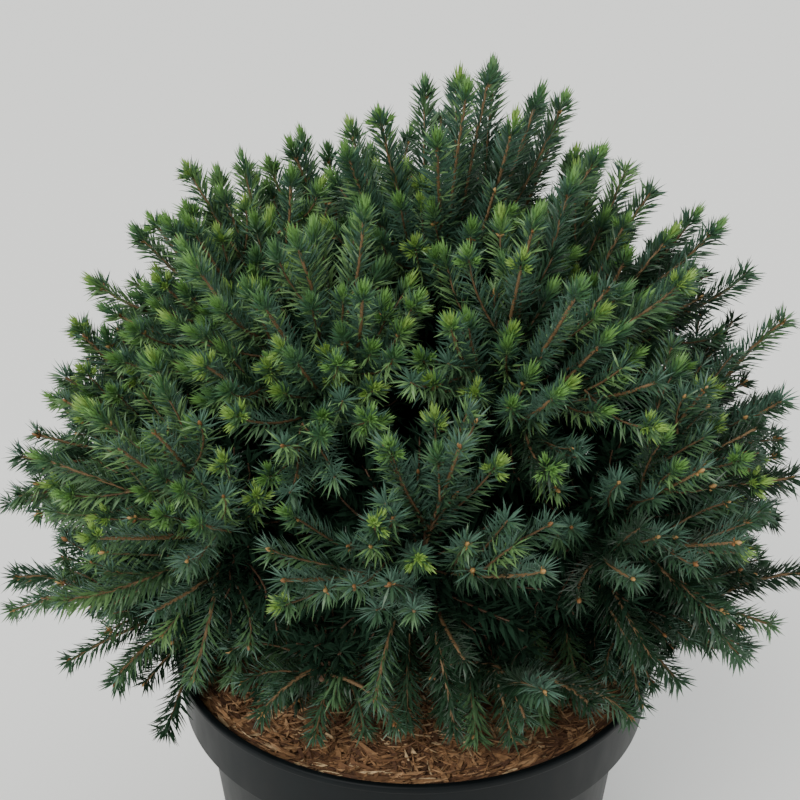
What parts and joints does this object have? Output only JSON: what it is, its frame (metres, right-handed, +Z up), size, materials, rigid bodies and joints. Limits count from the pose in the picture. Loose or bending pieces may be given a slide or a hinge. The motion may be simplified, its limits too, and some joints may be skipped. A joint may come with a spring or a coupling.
{
  "type": "potted dwarf spruce",
  "caption": "Mound-forming dwarf spruce: a dense dome of short needled shoots in a round nursery pot topped with shredded bark.",
  "frame": {"origin": "centre of the pot's flat underside", "axes": "+Z up along the pot's axis; the plant's front faces -Y and, seen from there, its left is -X"},
  "size_m": [0.4105, 0.3802, 0.5055],
  "materials": {
    "pot_plastic": "satin",
    "shredded_bark": "matte",
    "bark": "matte",
    "needles": "matte"
  },
  "bodies": {
    "root": {"pot": "pot_plastic", "soil": "shredded_bark", "trunk": "bark", "bough_skirt_1": "bark", "bough_skirt_2": "bark", "bough_skirt_3": "bark", "bough_skirt_4": "bark", "bough_skirt_5": "bark", "bough_skirt_6": "bark", "bough_skirt_7": "bark", "bough_skirt_8": "bark", "bough_shoulder_1": "bark", "bough_shoulder_2": "bark", "bough_shoulder_3": "bark", "bough_shoulder_4": "bark", "bough_shoulder_5": "bark", "bough_shoulder_6": "bark", "bough_shoulder_7": "bark", "bough_shoulder_8": "bark", "bough_upper_1": "bark", "bough_upper_2": "bark", "bough_upper_3": "bark", "bough_upper_4": "bark", "bough_upper_5": "bark", "bough_upper_6": "bark", "foliage_skirt_1": "needles", "foliage_skirt_2": "needles", "foliage_skirt_3": "needles", "foliage_skirt_4": "needles", "foliage_skirt_5": "needles", "foliage_skirt_6": "needles", "foliage_skirt_7": "needles", "foliage_skirt_8": "needles", "foliage_shoulder_1": "needles", "foliage_shoulder_2": "needles", "foliage_shoulder_3": "needles", "foliage_shoulder_4": "needles", "foliage_shoulder_5": "needles", "foliage_shoulder_6": "needles", "foliage_shoulder_7": "needles", "foliage_shoulder_8": "needles", "foliage_upper_1": "needles", "foliage_upper_2": "needles", "foliage_upper_3": "needles", "foliage_upper_4": "needles", "foliage_upper_5": "needles", "foliage_upper_6": "needles", "foliage_leader": "needles"}
  },
  "joints": []
}
